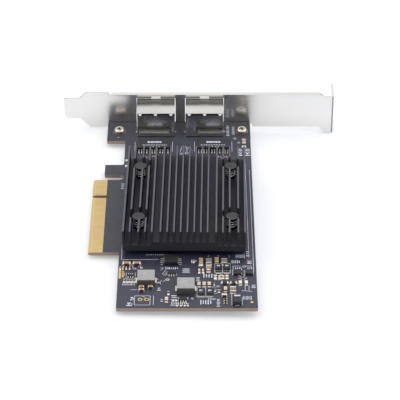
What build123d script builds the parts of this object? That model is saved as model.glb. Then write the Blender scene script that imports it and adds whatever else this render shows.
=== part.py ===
# Dual port network interface card with a full height bracket, an edge connector and a finned heatsink.
# Origin: key notch of the edge connector, on its leading edge and at half the board's thickness.
# +X runs from the slot up the card, +Y towards the bracket, +Z out of the component side. Millimetres.
import os
from math import atan, cos, degrees, sin, tau

from build123d import *

os.makedirs("parts", exist_ok=True)

# Circuit board
board_thickness = 1.57
board_width = 55.1  # long edge beside the fingers to the free long edge
board_ahead = 34.05  # heatsink's near end to the board's near edge
key_to_bracket_edge = 58.75
finger_reach = 12.55  # finger tab beyond the long edge
step_reach = 8.1  # hook and end tab beyond the long edge
end_tab_length = 15.6
hook_length = 7.7
hook_gap = 3.85
hook_gap_depth = 0.15  # round end of the gap past the long edge
board_corner = 0.5
recess_corner = 1.0

# Edge connector
key_width = 1.9
key_depth = 8.25
short_side = 11.65
long_side = 38.65
contact_pitch = 1.0
contact_width = 0.7
contact_reach = 5.6  # leading edge to the end of the contacts
contact_thickness = 0.06
first_contact = 1.5  # key centre to the nearest contact on either side
short_contacts = 11
long_contacts = 38
bevel_run = 1.3
bevel_drop = 0.45

# Bracket
sheet = 0.86
bend_inside = 0.3
bracket_gap = 0.3  # board edge to the bracket's inner face
bracket_length = 120.02
bracket_width = 17.9
bracket_rise = 15.27  # component side of the board to the bracket's upper edge
foot_overhang = 14.95  # foot's tip past the leading edge of the fingers
foot_width = 10.19
foot_length = 6.85
foot_from_low_edge = 4.6
foot_tip_small = 1.0
foot_tip_large = 2.2
lip_depth = 2.9
lip_start = 6.5
lip_end = 98.6
lip_relief = 2.1
end_width = 18.7
end_shift = 2.45
end_length = 4.0
end_slant = 2.4
flange_depth = 11.43
flange_slot_width = 4.42
flange_slot_depth = 7.6
flange_slot_from_face = 6.35

# Bracket screws and the ears that they go through
screw_thread = 2.9
screw_clearance = 0.3
screw_head = 4.8
screw_head_height = 1.7
screw_length = 3.6  # below the head
ear_width = 8.0
ear_end = 3.8  # screw centre to the end of the ear
ear_relief = 0.9
left_ear_x = 9.7
right_ear_x = 64.0
ear_reach = 8.3  # bracket's inner face to the screws

# Jacks
jack_width = 16.8
jack_height = 12.1
jack_depth = 14.2
jack_x = 25.9
jack_pitch = 21.55
jack_proud = 0.8  # front past the bracket's outer face
jack_sheet = 0.25
jack_clearance = 0.25
jack_stand = 0.3
port_notch_width = 4.1
port_notch_rise = 1.0
rear_slot = 1.2
tooth_width = 1.8
tooth_tip = 0.8
tooth_spacing = 6.75
plug_width = 11.8
plug_height = 6.8
plug_depth = 11.4
plug_floor = 1.5
latch_width = 6.2
latch_height = 2.0
light_width = 2.4
light_height = 1.7
pin_pitch = 1.02
pin_row_gap = 2.54
pin_width = 0.46
pin_thickness = 0.3
tail_below = 1.4
tail_from_rear = 3.2
tail_hole = 0.92
spring_front = 2.1  # housing's front to the fold of a contact
spring_back = 8.2
spring_rise = 2.2
spring_in_floor = 0.7
housing_recess = 0.3
light_from_rear = 2.5
peg_diameter = 3.2
peg_spacing = 11.43
peg_from_rear = 7.6
post_width = 1.2
post_from_rear = 4.6
ground_tab = 0.45

# Heatsink
sink_x = 39.3
sink_y = -10.6
sink_turn = -0.9  # sits a little askew
sink_length = 63.0
sink_height = 9.5
sink_base = 2.7
sink_middle = 4.5  # base under the middle fins
fin_thickness = 0.75
fin_pitch = 2.69
fin_wide_pitch = 3.47
fin_counts = (4, 3, 2)  # fins in each group, from the middle outwards
pocket_diameter = 8.4
sink_lift = 2.42  # board to the underside of the base

# Push pins and springs
pin_span_x = 38.0
pin_span_y = 36.8
push_head = 5.2
push_head_thickness = 0.9
push_head_drop = 1.4  # fin tops to the top of the head
push_shank = 2.9
push_hole = 3.3
hole_sides = 12  # flats round the covered holes and the barbs
sink_hole = 4.2
barb_diameter = 4.1
barb_length = 2.0
barb_split = 0.6
spring_wire = 0.5
spring_diameter = 4.3
spring_turns = 3

# Controller chip and thermal pad
chip_side = 27.0
chip_substrate = 1.1
chip_lid_side = 21.0
chip_lid = 1.02
thermal_pad_side = 20.0

# Transformer modules
transformer_width = 14.4
transformer_depth = 6.9
transformer_height = 1.9
transformer_x = (25.1, 51.2)
transformer_y = 38.4
transformer_leads = 12
transformer_lead_pitch = 1.15
transformer_lead_width = 0.5
transformer_reach = 1.65
lead_thickness = 0.2
body_lift = 0.12

# Holes for a two pin header
header_hole = 1.0
header_pitch = 2.54
header_across = 16.8
header_ahead = 5.65

# Board components: place across the board in percent of its width from the slot side, distance from the
# near edge, size along x, size along y, height
flash = (38.2, 30.25, 5.3, 5.2, 1.8)
regulator = (9.3, 20.95, 2.95, 1.7, 1.05)
supervisor = (38.7, 22.15, 2.9, 1.8, 1.1)
gate = (47.4, 5.15, 3.2, 1.6, 1.1)
lead_rows = (
    (flash, (-1, 0), 4, 1.27, 0.42, 1.45),
    (flash, (1, 0), 4, 1.27, 0.42, 1.45),
    (regulator, (0, -1), 3, 0.95, 0.4, 0.6),
    (regulator, (0, 1), 3, 0.95, 0.4, 0.6),
    (supervisor, (0, -1), 3, 0.95, 0.4, 0.7),
    (supervisor, (0, 1), 3, 0.95, 0.4, 0.7),
    (gate, (0, -1), 3, 0.95, 0.4, 0.6),
    (gate, (0, 1), 2, 1.9, 0.4, 0.6),
)  # body, side, leads on that side, pitch, lead width, reach past the body
inductors = (
    (20.6, 17.6, 6.9, 6.9, 3),
    (49.1, 12.4, 6.9, 7.1, 3),
)
transistors = (
    (72.6, 25.95, 2.7, 3, 0.95),
    (78.8, 25.95, 2.7, 3, 0.95),
    (59.8, 9.75, 2.7, 3, 0.95),
    (66.2, 9.75, 2.7, 3, 0.95),
)
rectifiers = (
    (86.1, 22.05, 3.2, 2, 1.1),
    (94.7, 22.05, 3.2, 2, 1.1),
)
protector = (85.4, 3.95, 3.2, 4.6, 2.1)
capacitors = (
    (6.1, 28.15, 3.2, 1.6, 1.3),
    (13.5, 28.15, 3.2, 1.6, 1.3),
    (1.5, 25.85, 0.5, 1, 0.5),
    (3.4, 25.85, 0.5, 1, 0.5),
    (5.9, 25.85, 0.5, 1, 0.5),
    (8.3, 25.85, 0.5, 1, 0.5),
    (17.5, 12.85, 2, 1.25, 1.2),
    (17.5, 10.95, 2, 1.25, 1.2),
    (23.9, 12.85, 2, 1.25, 1.2),
    (60, 29.65, 1.6, 3.2, 1.3),
    (71.4, 29.95, 1.6, 3.2, 1.3),
    (65.4, 24.65, 1.6, 3.2, 1.3),
    (65.7, 29.35, 2.4, 3.2, 1.3),
    (76.9, 29.35, 2.4, 3.2, 1.3),
    (82.7, 10.75, 2.4, 3.2, 1.3),
    (58.5, 14.45, 1.25, 2, 1.2),
    (62.2, 14.45, 1.25, 2, 1.2),
    (65.8, 14.45, 1.25, 2, 1.2),
    (77.4, 11.35, 1.25, 2, 1.2),
    (76.5, 7.45, 2, 1.25, 1.2),
    (35.5, 4.75, 1.25, 2, 1.2),
    (54.7, 30.15, 0.5, 1, 0.5),
    (94.6, 29.65, 0.5, 1, 0.5),
    (58.7, 23.75, 0.8, 1.6, 0.8),
    (61.4, 23.75, 0.8, 1.6, 0.8),
    (88.1, 15.65, 1.25, 2, 0.9),
    (92.4, 15.65, 1.25, 2, 0.9),
)
resistors = (
    (70.3, 19.85, 0.8, 1.6, 0.5),
    (73.2, 19.85, 0.8, 1.6, 0.5),
    (76, 19.85, 0.8, 1.6, 0.5),
    (78.5, 19.85, 0.8, 1.6, 0.5),
    (77, 15.95, 2.8, 1.6, 0.6),
    (83.2, 15.95, 2.6, 1.6, 0.6),
    (40.2, 5.55, 0.8, 1.6, 0.5),
    (42.4, 5.55, 0.8, 1.6, 0.5),
    (36.8, 9.45, 0.8, 1.6, 0.5),
    (42.9, 2.15, 0.5, 1, 0.4),
    (45.8, 2.15, 0.5, 1, 0.4),
    (48.5, 2.15, 0.5, 1, 0.4),
    (50.7, 2.15, 0.5, 1, 0.4),
    (77.2, 5.95, 1, 0.5, 0.4),
    (77.2, 4.45, 1, 0.5, 0.4),
    (77.2, 2.95, 1, 0.5, 0.4),
    (29.7, 15.55, 1, 0.5, 0.4),
    (10.1, 2.55, 1, 0.5, 0.4),
    (70, 11.25, 0.5, 1, 0.4),
    (72.7, 10.65, 0.5, 1, 0.4),
    (69.4, 15.25, 0.5, 1, 0.4),
    (4.8, 17.55, 0.8, 1.6, 0.45),
    (6.75, 17.55, 0.8, 1.6, 0.45),
    (8.6, 17.55, 0.8, 1.6, 0.45),
    (10.4, 17.55, 0.8, 1.6, 0.45),
    (12.4, 17.55, 0.8, 1.6, 0.45),
)
# The same beside the jacks and the heatsink, with the distance from the bracket's edge of the board
far_capacitors = (
    (94.8, 16.45, 1.6, 1.9, 1),
    (16.4, 29.05, 1, 0.5, 0.5),
    (23, 28.55, 1, 0.5, 0.5),
    (75, 28.95, 1, 0.5, 0.5),
    (79.9, 29.15, 1, 0.5, 0.5),
)
far_resistors = (
    (92.1, 25.65, 0.5, 1, 0.4),
    (97, 25.65, 0.5, 1, 0.4),
)

# Places worked out from the sizes
board_top = board_thickness / 2
board_bottom = -board_top
main_edge = finger_reach
free_edge = main_edge + board_width
step_edge = main_edge - step_reach
far_edge = key_to_bracket_edge
near_edge = sink_y - sink_length / 2 - board_ahead
tab_far = key_width / 2 + short_side
tab_near = -key_width / 2 - long_side
face_in = far_edge + bracket_gap
face_out = face_in + sheet
bend_outside = bend_inside + sheet
bracket_top = board_top + bracket_rise
bracket_bottom = bracket_top - bracket_width
foot_tip = -foot_overhang
bracket_right = foot_tip + bracket_length
jack_front = face_out + jack_proud
jack_rear = jack_front - jack_depth
jack_top = board_top + jack_height
jack_centres = (jack_x, jack_x + jack_pitch)
sink_bottom = board_top + sink_lift
sink_top = sink_bottom + sink_height
pin_places = [
    (sink_x + sx * pin_span_x / 2, sink_y + sy * pin_span_y / 2) for sx in (-1, 1) for sy in (-1, 1)
]
ear_places = [(x, face_in - ear_reach) for x in (left_ear_x, right_ear_x)]
board_plane = Plane.XY.offset(board_top)
across_sink = Vector(1, 0, 0).rotate(Axis.Z, sink_turn)
along_sink = Vector(0, -1, 0).rotate(Axis.Z, sink_turn)
sink_plane = Plane((sink_x, sink_y, sink_bottom), x_dir=across_sink, z_dir=along_sink)
chip_plane = Plane((sink_x, sink_y, board_top))
push_head_top = sink_top - push_head_drop
channel_floor = sink_bottom + sink_base
rear_wall = jack_rear + jack_sheet
plug_bottom = board_top + plug_floor


def save(piece, name):
    piece.part.label = name
    export_step(piece.part, f"parts/{name}.step")


def spot(across, ahead):
    # point on the board's component side, in percent of its width and in distance from its near edge
    return (main_edge + across / 100 * board_width, near_edge + ahead, board_top)


def far_spot(across, back):
    # the same, in distance from the bracket's edge
    return (main_edge + across / 100 * board_width, far_edge - back, board_top)


def tail_places(centre):
    # two staggered rows of four contact tails behind the plug
    rows = []
    for n in range(8):
        across = centre + (n - 3.5) * pin_pitch
        rows.append((across, jack_rear + tail_from_rear + (n % 2) * pin_row_gap))
    return rows


def post_places(centre):
    return [(centre + side * (jack_width - jack_sheet) / 2, jack_rear + post_from_rear) for side in (-1, 1)]


def peg_places(centre):
    return [(centre + side * peg_spacing / 2, jack_rear + peg_from_rear) for side in (-1, 1)]


# Circuit board: outline with finger tab, hook and end tab, then the key, the bevel and every hole
with BuildPart() as circuit_board:
    with BuildSketch(Plane.XY.offset(board_bottom)) as outline:
        low = (Align.MIN, Align.MIN)
        with Locations((main_edge, near_edge)):
            Rectangle(board_width, far_edge - near_edge, align=low)
        with Locations((0, tab_near)):
            Rectangle(finger_reach, tab_far - tab_near, align=low)
        with Locations((step_edge, tab_far)):
            Rectangle(step_reach, hook_gap + hook_length, align=low)
        with Locations((step_edge, far_edge - end_tab_length)):
            Rectangle(step_reach, end_tab_length, align=low)
        gap_middle = tab_far + hook_gap / 2
        gap_end = main_edge + hook_gap_depth - hook_gap / 2
        with Locations((gap_end, gap_middle)):
            Circle(hook_gap / 2, mode=Mode.SUBTRACT)
            Rectangle(gap_end, hook_gap, align=(Align.MAX, Align.CENTER), mode=Mode.SUBTRACT)
        with Locations((key_depth - key_width / 2, 0)):
            Circle(key_width / 2, mode=Mode.SUBTRACT)
            Rectangle(key_depth, key_width, align=(Align.MAX, Align.CENTER), mode=Mode.SUBTRACT)
        recess_low = tab_far + hook_gap + hook_length - 0.01
        recess_high = far_edge - end_tab_length + 0.01
        on_edge = outline.vertices().filter_by(lambda v: abs(v.X - main_edge) < 0.01)
        fillet(on_edge.filter_by(lambda v: recess_low < v.Y < recess_high), recess_corner)
        near_corners = outline.vertices().filter_by(lambda v: v.Y < near_edge + 0.01)
        step_corners = outline.vertices().filter_by(lambda v: v.X < step_edge + 0.01 and v.Y > tab_far + 1)
        fillet(near_corners + step_corners, board_corner)
    extrude(amount=board_thickness)
    with BuildSketch(Plane.XZ):
        for side in (-1, 1):
            with BuildLine():
                Polyline(
                    (-1, side * (board_top - bevel_drop * (1 + 1 / bevel_run))),
                    (bevel_run, side * board_top),
                    (bevel_run, side * (board_top + 1)),
                    (-1, side * (board_top + 1)),
                    close=True,
                )
            make_face()
    extrude(amount=far_edge - near_edge, both=True, mode=Mode.SUBTRACT)
    with BuildSketch(Plane.XY.offset(board_bottom)):
        with Locations(*ear_places):
            RegularPolygon(screw_thread / 2 + screw_clearance / 2, hole_sides, major_radius=False)
        with Locations(*pin_places):
            RegularPolygon(push_hole / 2, hole_sides, major_radius=False)
    extrude(amount=board_thickness, mode=Mode.SUBTRACT)
    header_x, header_y, header_z = spot(header_across, header_ahead)
    with Locations((header_x, header_y, header_z), (header_x + header_pitch, header_y, header_z)):
        Hole(header_hole / 2)
    for centre in jack_centres:
        with BuildSketch(Plane.XY.offset(board_bottom)):
            with Locations(*tail_places(centre)):
                RegularPolygon(tail_hole / 2, 6)
            with Locations(*peg_places(centre)):
                RegularPolygon(peg_diameter / 2 + 0.05, hole_sides, major_radius=False)
        extrude(amount=board_thickness, mode=Mode.SUBTRACT)
        with BuildSketch(Plane.XY.offset(board_bottom - 1)):
            with Locations(*post_places(centre)):
                Rectangle(2 * jack_sheet, post_width + 0.8)
        extrude(amount=board_thickness + 2, mode=Mode.SUBTRACT)
save(circuit_board, "circuit_board")

# Edge contacts: gold pads on both faces of the finger tab
contact_rows = [first_contact + n * contact_pitch for n in range(short_contacts)]
contact_rows += [-first_contact - n * contact_pitch for n in range(long_contacts)]
with BuildPart() as edge_contacts:
    with BuildSketch(board_plane):
        with Locations(*[(bevel_run, y) for y in contact_rows]):
            Rectangle(contact_reach - bevel_run, contact_width, align=(Align.MIN, Align.CENTER))
    extrude(amount=contact_thickness)
    mirror(about=Plane.XY)
save(edge_contacts, "edge_contacts")

# Bracket: face with foot and offset end, folded lip, flange and ears
with BuildPart() as bracket:
    foot_low = bracket_bottom + foot_from_low_edge
    foot_high = foot_low + foot_width
    foot_end = foot_tip + foot_length
    fold_line = bracket_top - bend_outside
    end_top = bracket_top - end_shift
    end_bottom = end_top - end_width
    end_start = bracket_right - end_length
    flat_right = bracket_right - bend_outside
    with BuildSketch(Plane.XZ.offset(-face_out)) as face:
        with BuildLine():
            Polyline(
                (foot_tip, foot_low),
                (foot_tip, foot_high),
                (foot_end, foot_high),
                (foot_end + bracket_top - foot_high, bracket_top),
                (lip_start - lip_relief, bracket_top),
                (lip_start - lip_relief + 0.6, fold_line),
                (lip_end + 0.4, fold_line),
                (end_start, end_top),
                (flat_right, end_top),
                (flat_right, end_bottom),
                (end_start, end_bottom),
                (end_start - end_slant, bracket_bottom),
                (foot_end + foot_low - bracket_bottom, bracket_bottom),
                (foot_end, foot_low),
                close=True,
            )
        make_face()
        fillet(face.vertices().filter_by(lambda v: v.X < foot_tip + 0.01).sort_by(Axis.Y)[0], foot_tip_large)
        fillet(face.vertices().filter_by(lambda v: v.X < foot_tip + 0.01).sort_by(Axis.Y)[-1], foot_tip_small)
        ear_top = board_bottom
        ear_bottom = ear_top - sheet
        ear_fold = ear_bottom + bend_outside
        for x, y in ear_places:
            with Locations((x, bracket_bottom)):
                Rectangle(
                    ear_width + 2 * ear_relief,
                    2 * (ear_fold - bracket_bottom),
                    mode=Mode.SUBTRACT,
                )
        for centre in jack_centres:
            port_low = board_top - jack_clearance
            port_high = jack_top + jack_clearance
            with Locations((centre, port_low)):
                Rectangle(
                    jack_width + 2 * jack_clearance,
                    port_high - port_low,
                    align=(Align.CENTER, Align.MIN),
                    mode=Mode.SUBTRACT,
                )
            with Locations((centre, port_high)):
                Rectangle(
                    port_notch_width,
                    2 * port_notch_rise,
                    mode=Mode.SUBTRACT,
                )
    extrude(amount=sheet)
    # lip, folded towards the card
    with BuildSketch(Plane.YZ.offset(lip_start)):
        with BuildLine():
            Line((face_out, fold_line), (face_in, fold_line))
            RadiusArc((face_in, fold_line), (face_in - bend_inside, bracket_top - sheet), -bend_inside)
            Polyline(
                (face_in - bend_inside, bracket_top - sheet),
                (face_out - lip_depth, bracket_top - sheet),
                (face_out - lip_depth, bracket_top),
                (face_in - bend_inside, bracket_top),
            )
            RadiusArc((face_in - bend_inside, bracket_top), (face_out, fold_line), bend_outside)
        make_face()
    extrude(amount=lip_end - lip_start)
    # flange, folded away from the card
    with BuildSketch(Plane.XY.offset(end_bottom)):
        with BuildLine():
            Line((flat_right, face_out), (flat_right, face_in))
            RadiusArc((flat_right, face_in), (bracket_right, face_in + bend_outside), -bend_outside)
            Polyline(
                (bracket_right, face_in + bend_outside),
                (bracket_right, face_in + flange_depth),
                (bracket_right - sheet, face_in + flange_depth),
                (bracket_right - sheet, face_in + bend_outside),
            )
            RadiusArc((bracket_right - sheet, face_in + bend_outside), (flat_right, face_out), bend_inside)
        make_face()
    extrude(amount=end_width)
    with BuildSketch(Plane.YZ.offset(bracket_right + 1)):
        slot_y = face_in + flange_slot_from_face
        slot_top = end_bottom + flange_slot_depth - flange_slot_width / 2
        with Locations((slot_y, slot_top)):
            Circle(flange_slot_width / 2)
            Rectangle(flange_slot_width, flange_slot_depth, align=(Align.CENTER, Align.MAX))
    extrude(amount=-sheet - 2, mode=Mode.SUBTRACT)
    # ears, folded under the board
    for x, y in ear_places:
        with BuildSketch(Plane.YZ.offset(x - ear_width / 2)):
            with BuildLine():
                Line((face_out, ear_fold), (face_in, ear_fold))
                RadiusArc((face_in, ear_fold), (face_in - bend_inside, ear_top), bend_inside)
                Polyline(
                    (face_in - bend_inside, ear_top),
                    (y - ear_end, ear_top),
                    (y - ear_end, ear_bottom),
                    (face_in - bend_inside, ear_bottom),
                )
                RadiusArc((face_in - bend_inside, ear_bottom), (face_out, ear_fold), -bend_outside)
            make_face()
        extrude(amount=ear_width)
        ear_edges = bracket.edges().filter_by(Axis.Z).filter_by(lambda e: abs(e.center().Y - y + ear_end) < 0.01)
        fillet(ear_edges, ear_width / 4)
    with Locations(*[(x, y, ear_top) for x, y in ear_places]):
        Hole(screw_thread / 2 + screw_clearance / 6)
save(bracket, "bracket")

# Bracket screws: pan heads with a cross recess
with BuildPart() as bracket_screws:
    shank = screw_thread / 2
    head = screw_head / 2
    for x, y in ear_places:
        with BuildSketch(Plane((x, y, board_top), x_dir=(1, 0, 0), z_dir=(0, -1, 0))):
            with BuildLine():
                Polyline(
                    (0, -screw_length),
                    (shank, -screw_length),
                    (shank, 0),
                    (head, 0),
                    (head, screw_head_height * 0.5),
                    (head * 0.75, screw_head_height),
                    (0, screw_head_height),
                    close=True,
                )
            make_face()
        revolve(axis=Axis((x, y, board_top), (0, 0, 1)))
        with BuildSketch(Plane((x, y, board_top + screw_head_height + 0.1))):
            Rectangle(screw_head * 0.55, 0.7, rotation=20)
            Rectangle(0.7, screw_head * 0.55, rotation=20)
        extrude(amount=-1.1, mode=Mode.SUBTRACT)
save(bracket_screws, "bracket_screws")

# Heatsink: one extrusion, cut for the push pins
offsets = []
place = -fin_wide_pitch + fin_pitch / 2
for group in fin_counts:
    place += fin_wide_pitch
    for n in range(group):
        offsets.append(place)
        place += fin_pitch
    place -= fin_pitch
middle_half = offsets[fin_counts[0]] + fin_thickness / 2
sink_half = offsets[-1] + fin_thickness / 2
with BuildPart() as heatsink:
    with BuildSketch(sink_plane):
        Rectangle(2 * sink_half, sink_base, align=(Align.CENTER, Align.MIN))
        Rectangle(2 * middle_half, sink_middle, align=(Align.CENTER, Align.MIN))
        with Locations(*[(side * offset, 0) for offset in offsets for side in (-1, 1)]):
            Rectangle(fin_thickness, sink_height, align=(Align.CENTER, Align.MIN))
    extrude(amount=sink_length / 2, both=True)
    with BuildSketch(Plane((0, 0, channel_floor))):
        with Locations(*pin_places):
            Circle(pocket_diameter / 2)
    extrude(amount=sink_height, mode=Mode.SUBTRACT)
    with BuildSketch(Plane((0, 0, sink_bottom - 1))):
        with Locations(*pin_places):
            Circle(sink_hole / 2)
    extrude(amount=sink_height, mode=Mode.SUBTRACT)
save(heatsink, "heatsink")

# Push pins: head, shank and a split barb under the board
with BuildPart() as push_pins:
    barb_top = board_bottom
    barb_low = barb_top - barb_length
    tip = push_shank * 0.3
    for x, y in pin_places:
        with BuildSketch(Plane((x, y, 0), x_dir=(1, 0, 0), z_dir=(0, -1, 0))):
            with BuildLine():
                Polyline(
                    (0, push_head_top),
                    (push_head / 2, push_head_top),
                    (push_head / 2, push_head_top - push_head_thickness),
                    (push_shank / 2, push_head_top - push_head_thickness),
                    (push_shank / 2, barb_top),
                    (0, barb_top),
                    close=True,
                )
            make_face()
        revolve(axis=Axis((x, y, 0), (0, 0, 1)))
        with BuildSketch(Plane((x, y, barb_top), z_dir=(0, 0, -1))):
            RegularPolygon(barb_diameter / 2, hole_sides)
        extrude(amount=barb_length, taper=degrees(atan((barb_diameter / 2 - tip) / barb_length)))
        with BuildSketch(Plane((x, y, barb_low - 1))):
            Rectangle(barb_split, 2 * barb_diameter)
        extrude(amount=barb_length + board_thickness + 1.5, mode=Mode.SUBTRACT)
save(push_pins, "push_pins")

# Springs: coils between the channel floor and the push pin heads
with BuildPart() as pin_springs:
    spring_low = channel_floor + spring_wire / 2
    spring_room = push_head_top - push_head_thickness - channel_floor - spring_wire
    coil = (spring_diameter - spring_wire) / 2
    for x, y in pin_places:
        steps = spring_turns * 8
        bends = []
        for n in range(steps + 1):
            turn = tau * n / 8
            bends.append((x + coil * cos(turn), y + coil * sin(turn), spring_low + spring_room * n / steps))
        with BuildLine() as coil_path:
            Polyline(*bends)
        with BuildSketch(coil_path.line ^ 0):
            RegularPolygon(spring_wire / 2, 4)
        sweep(transition=Transition.RIGHT)
save(pin_springs, "pin_springs")

# Controller chip: substrate with a lid, and the pad that carries its heat
with BuildPart() as controller_chip:
    with BuildSketch(chip_plane):
        Rectangle(chip_side, chip_side)
    extrude(amount=chip_substrate)
    with BuildSketch(chip_plane.offset(chip_substrate)):
        RectangleRounded(chip_lid_side, chip_lid_side, 0.6)
    extrude(amount=chip_lid)
save(controller_chip, "controller_chip")

with BuildPart() as thermal_pad:
    with BuildSketch(chip_plane.offset(chip_substrate + chip_lid)):
        Rectangle(thermal_pad_side, thermal_pad_side)
    extrude(amount=sink_lift - chip_substrate - chip_lid)
save(thermal_pad, "thermal_pad")

# Jacks
rear_low = board_top + jack_stand
slot_low = jack_top - rear_slot
for centre, name in zip(jack_centres, ("left", "right")):
    # folded shield: top with three teeth, sides with posts, rear wall
    with BuildPart() as jack_shield:
        with BuildSketch(Plane.XZ.offset(-jack_rear)):
            with Locations((centre, board_top)):
                Rectangle(jack_width, jack_height, align=(Align.CENTER, Align.MIN))
        extrude(amount=-jack_depth)
        fillet(jack_shield.edges().filter_by(Axis.Z).sort_by(Axis.Y)[:2], 2 * jack_sheet)
        with BuildSketch(Plane.XZ.offset(-rear_wall)):
            with Locations((centre, board_top - 1)):
                Rectangle(
                    jack_width - 2 * jack_sheet,
                    jack_height + 1 - jack_sheet,
                    align=(Align.CENTER, Align.MIN),
                )
        extrude(amount=-jack_depth, mode=Mode.SUBTRACT)
        with BuildSketch(Plane.XZ.offset(1 - jack_rear)):
            with Locations((centre, slot_low)):
                Rectangle(
                    jack_width - 4 * jack_sheet,
                    rear_slot - jack_sheet,
                    align=(Align.CENTER, Align.MIN),
                )
            with Locations((centre, rear_low)):
                Rectangle(jack_width, 2 * jack_stand, align=(Align.CENTER, Align.MAX))
            with Locations((centre, slot_low)):
                for n in (-1, 0, 1):
                    with BuildLine():
                        Polyline(
                            (n * tooth_spacing - tooth_width / 2, rear_slot),
                            (n * tooth_spacing + tooth_width / 2, rear_slot),
                            (n * tooth_spacing + tooth_tip / 2, 0),
                            (n * tooth_spacing - tooth_tip / 2, 0),
                            close=True,
                        )
                    make_face(mode=Mode.SUBTRACT)
        extrude(amount=-1 - jack_sheet, mode=Mode.SUBTRACT)
        with BuildSketch(Plane.XY.offset(board_bottom - tail_below)):
            with Locations(*post_places(centre)):
                Rectangle(jack_sheet, post_width)
        extrude(amount=tail_below + board_thickness + 1)
        with BuildSketch(Plane.XY.offset(board_top + 0.1)):
            with Locations((centre, jack_rear + 2.6)):
                Rectangle(jack_width + 2 * ground_tab, 1.2)
                Rectangle(jack_width - jack_sheet, 1.2, mode=Mode.SUBTRACT)
        extrude(amount=1)
    save(jack_shield, f"{name}_jack_shield")

    # moulded housing: plug opening with its latch channel, pockets for the lights, slots for the contacts
    inside = jack_width - 2 * jack_sheet - 0.1
    front = jack_front - housing_recess
    light_y = rear_wall + light_from_rear
    light_z = plug_bottom + plug_height + light_height / 2 + 0.6
    lights = [centre + side * (inside / 2 - light_width / 2 - 0.7) for side in (-1, 1)]
    rows = tail_places(centre)
    with BuildPart() as jack_housing:
        with BuildSketch(Plane.XZ.offset(-rear_wall - 0.05)):
            with Locations((centre, board_top)):
                Rectangle(inside, jack_height - jack_sheet - 0.05, align=(Align.CENTER, Align.MIN))
        extrude(amount=rear_wall + 0.05 - front)
        with BuildSketch(Plane.XZ.offset(-front)):
            with Locations((centre, plug_bottom)):
                Rectangle(plug_width, plug_height, align=(Align.CENTER, Align.MIN))
                Rectangle(latch_width, plug_height + latch_height, align=(Align.CENTER, Align.MIN))
        extrude(amount=plug_depth, mode=Mode.SUBTRACT)
        with BuildSketch(Plane.XZ.offset(-front)):
            with Locations(*[(x, light_z) for x in lights]):
                Rectangle(light_width + 0.1, light_height + 0.1)
        extrude(amount=front - light_y, mode=Mode.SUBTRACT)
        with BuildSketch(Plane.XY.offset(board_top - 1)):
            with Locations(*[(x, rows[0][1] - 0.5) for x, y in rows]):
                Rectangle(pin_width + 0.16, front - 1.2 - rows[0][1], align=(Align.CENTER, Align.MIN))
        extrude(amount=plug_floor + 1, mode=Mode.SUBTRACT)
        with BuildSketch(Plane.XY.offset(board_bottom - tail_below)):
            with Locations(*peg_places(centre)):
                Circle(peg_diameter / 2 - 0.05)
        extrude(amount=board_thickness + tail_below)
    save(jack_housing, f"{name}_jack_housing")

    # contacts: eight springs folded up and back inside the plug opening
    level = board_top + spring_in_floor
    with BuildPart() as jack_contacts:
        for x, y in rows:
            with BuildSketch(Plane.YZ.offset(x - pin_width / 2)):
                with BuildLine():
                    Polyline(
                        (y, board_bottom - tail_below),
                        (y, level),
                        (front - spring_front - pin_thickness, level),
                        (front - spring_front, level + pin_thickness),
                        (front - spring_front - pin_thickness, plug_bottom),
                        (front - spring_back, plug_bottom + spring_rise),
                    )
                trace(line_width=pin_thickness)
            extrude(amount=pin_width)
    save(jack_contacts, f"{name}_jack_contacts")

# Light pipes in both jacks
with BuildPart() as jack_light_pipes:
    with BuildSketch(Plane.XZ.offset(-front)):
        with Locations(*[(x + n * jack_pitch, light_z) for x in lights for n in (-1, 0)]):
            Rectangle(light_width, light_height)
    extrude(amount=front - light_y - 0.1)
save(jack_light_pipes, "jack_light_pipes")


def lead_plane(x, y, side):
    # sketch plane whose x axis points away from the body and whose y axis is the card's +Z
    return Plane((x, y, board_top), x_dir=(side[0], side[1], 0), z_dir=(side[1], -side[0], 0))


def lead_line(reach, rise):
    # centre line of a bent lead from the body down to its foot
    foot = lead_thickness / 2
    return ((-0.1, rise), (reach * 0.25, rise), (reach * 0.45, foot), (reach, foot))


# Transformer modules with leads on both long sides
for x, name in zip(transformer_x, ("left", "right")):
    with BuildPart() as transformer:
        with BuildSketch(Plane((x, transformer_y, board_top + body_lift))):
            Rectangle(transformer_width, transformer_depth)
        extrude(amount=transformer_height - body_lift)
        chamfer(transformer.faces().sort_by(Axis.Z)[-1].edges(), 0.25)
        for side in (-1, 1):
            for n in range(transformer_leads):
                along = x + (n - (transformer_leads - 1) / 2) * transformer_lead_pitch
                edge = transformer_y + side * transformer_depth / 2
                with BuildSketch(lead_plane(along, edge, (0, side))):
                    with BuildLine():
                        Polyline(*lead_line(transformer_reach, transformer_height / 2))
                    trace(line_width=lead_thickness)
                extrude(amount=transformer_lead_width / 2, both=True)
    save(transformer, f"{name}_transformer")

# Chips with bent leads
for body, name in ((flash, "flash"), (regulator, "regulator"), (supervisor, "supervisor"), (gate, "gate")):
    across, ahead, wide, deep, height = body
    x, y, z = spot(across, ahead)
    with BuildPart() as chip:
        with BuildSketch(Plane((x, y, z + body_lift))):
            Rectangle(wide, deep)
        extrude(amount=height - body_lift)
        chamfer(chip.faces().sort_by(Axis.Z)[-1].edges(), 0.12)
        for owner, side, count, pitch, width, reach in lead_rows:
            if owner is body:
                for n in range(count):
                    shift = (n - (count - 1) / 2) * pitch
                    lead_x = x + side[0] * wide / 2 + abs(side[1]) * shift
                    lead_y = y + side[1] * deep / 2 + abs(side[0]) * shift
                    with BuildSketch(lead_plane(lead_x, lead_y, side)):
                        with BuildLine():
                            Polyline(*lead_line(reach, height / 2))
                        trace(line_width=lead_thickness)
                    extrude(amount=width / 2, both=True)
    save(chip, f"{name}_chip")

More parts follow.
